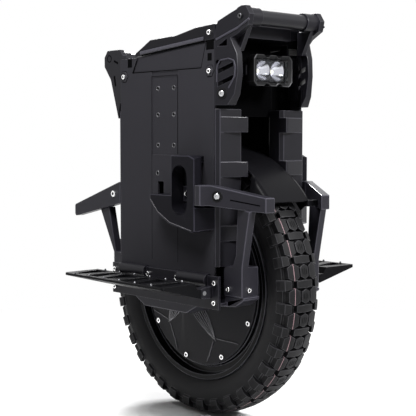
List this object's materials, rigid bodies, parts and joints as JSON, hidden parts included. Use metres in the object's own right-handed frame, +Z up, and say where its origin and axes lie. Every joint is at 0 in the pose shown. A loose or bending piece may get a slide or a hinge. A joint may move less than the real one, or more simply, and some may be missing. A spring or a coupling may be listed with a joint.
{
  "type": "electric unicycle",
  "caption": "Suspension electric unicycle: knobby tyre on a hub motor, tall flat-sided shell sliding on a frame, folding lattice pedals, front and rear carry bars, twin-reflector headlight.",
  "frame": {"origin": "on the ground, straight under the axle, at the tyre's lowest point", "axes": "+X forward towards the headlight, +Y to the rider's left along the axle, +Z up"},
  "size_m": [0.547, 0.496, 0.753],
  "materials": {
    "tyre": "matt knobby rubber",
    "gloss_black": "gloss black coated rim",
    "black_metal": "matt black powder coat",
    "black_plastic": "fine grained charcoal plastic",
    "grip_rubber": "smooth rubber sleeve",
    "steel": "turned steel",
    "bright_steel": "bright socket heads",
    "reflector": "mirror reflector",
    "clear_lens": "clear",
    "tail_lens": "deep red lens",
    "grey_plastic": "grey push button"
  },
  "bodies": {
    "frame": {"axle": "steel", "stator": "steel", "axle_nuts": "steel", "hanger_right": "black_metal", "hanger_left": "black_metal", "front_leg_right": "black_metal", "front_leg_left": "black_metal", "rear_leg_right": "black_metal", "rear_leg_left": "black_metal", "front_arm_right": "black_metal", "front_arm_left": "black_metal", "rear_arm_right": "black_metal", "rear_arm_left": "black_metal", "hinge_bracket_right": "black_metal", "hinge_bracket_left": "black_metal", "pedal_pins": "steel", "shock_shafts": "steel", "fender": "black_plastic", "frame_bolts": "bright_steel"},
    "wheel": {"tyre": "tyre", "rim": "gloss_black", "motor_cover_right": "black_metal", "motor_cover_left": "black_metal", "cover_bolts": "bright_steel", "hub_bearings": "steel", "valve_stem": "steel"},
    "shell": {"side_box_right": "black_plastic", "side_box_left": "black_plastic", "battery_packs": "black_plastic", "shock_cans": "steel", "side_panel_right": "black_plastic", "side_panel_left": "black_plastic", "side_lid_right": "black_plastic", "side_lid_left": "black_plastic", "front_bumper_right": "black_plastic", "front_bumper_left": "black_plastic", "rear_bumper_right": "black_plastic", "rear_bumper_left": "black_plastic", "slide_housing_right": "black_plastic", "slide_housing_left": "black_plastic", "controller_case": "black_plastic", "top_deck": "black_plastic", "front_bracket_right": "black_metal", "front_bracket_left": "black_metal", "front_handlebar": "grip_rubber", "rear_bracket_right": "black_metal", "rear_bracket_left": "black_metal", "rear_handlebar": "grip_rubber", "shell_bolts": "bright_steel", "headlight_yoke": "black_plastic", "tail_light": "tail_lens"},
    "headlight": {"headlight_pod": "black_plastic", "headlight_reflectors": "reflector", "headlight_lens": "clear_lens"},
    "power_button": {"power_button": "grey_plastic"},
    "pedal_right": {"pedal_right": "black_metal", "grip_pins_right": "steel"},
    "pedal_left": {"pedal_left": "black_metal", "grip_pins_left": "steel"}
  },
  "joints": [
    {"name": "wheel_spin", "type": "hinge", "parent": "frame", "child": "wheel", "pos_m": [0, 0, 0.25], "axis": [0, 1, 0], "continuous": true},
    {"name": "suspension", "type": "slide", "parent": "frame", "child": "shell", "axis": [0, 0, -1], "range_m": [0, 0.04], "stiffness_N_per_m": 18000, "springref_m": -0.025},
    {"name": "headlight_tilt", "type": "hinge", "parent": "shell", "child": "headlight", "pos_m": [0.144, 0, 0.647], "axis": [0, 1, 0], "range_deg": [-10, 10]},
    {"name": "power_press", "type": "slide", "parent": "shell", "child": "power_button", "axis": [-1, 0, 0], "range_m": [0, 0.0015], "stiffness_N_per_m": 600, "springref_m": -0.001},
    {"name": "pedal_fold_right", "type": "hinge", "parent": "frame", "child": "pedal_right", "pos_m": [0, -0.139, 0.2565], "axis": [-1, 0, 0], "range_deg": [0, 60]},
    {"name": "pedal_fold_left", "type": "hinge", "parent": "frame", "child": "pedal_left", "pos_m": [0, 0.139, 0.2565], "axis": [1, 0, 0], "range_deg": [0, 60]}
  ]
}
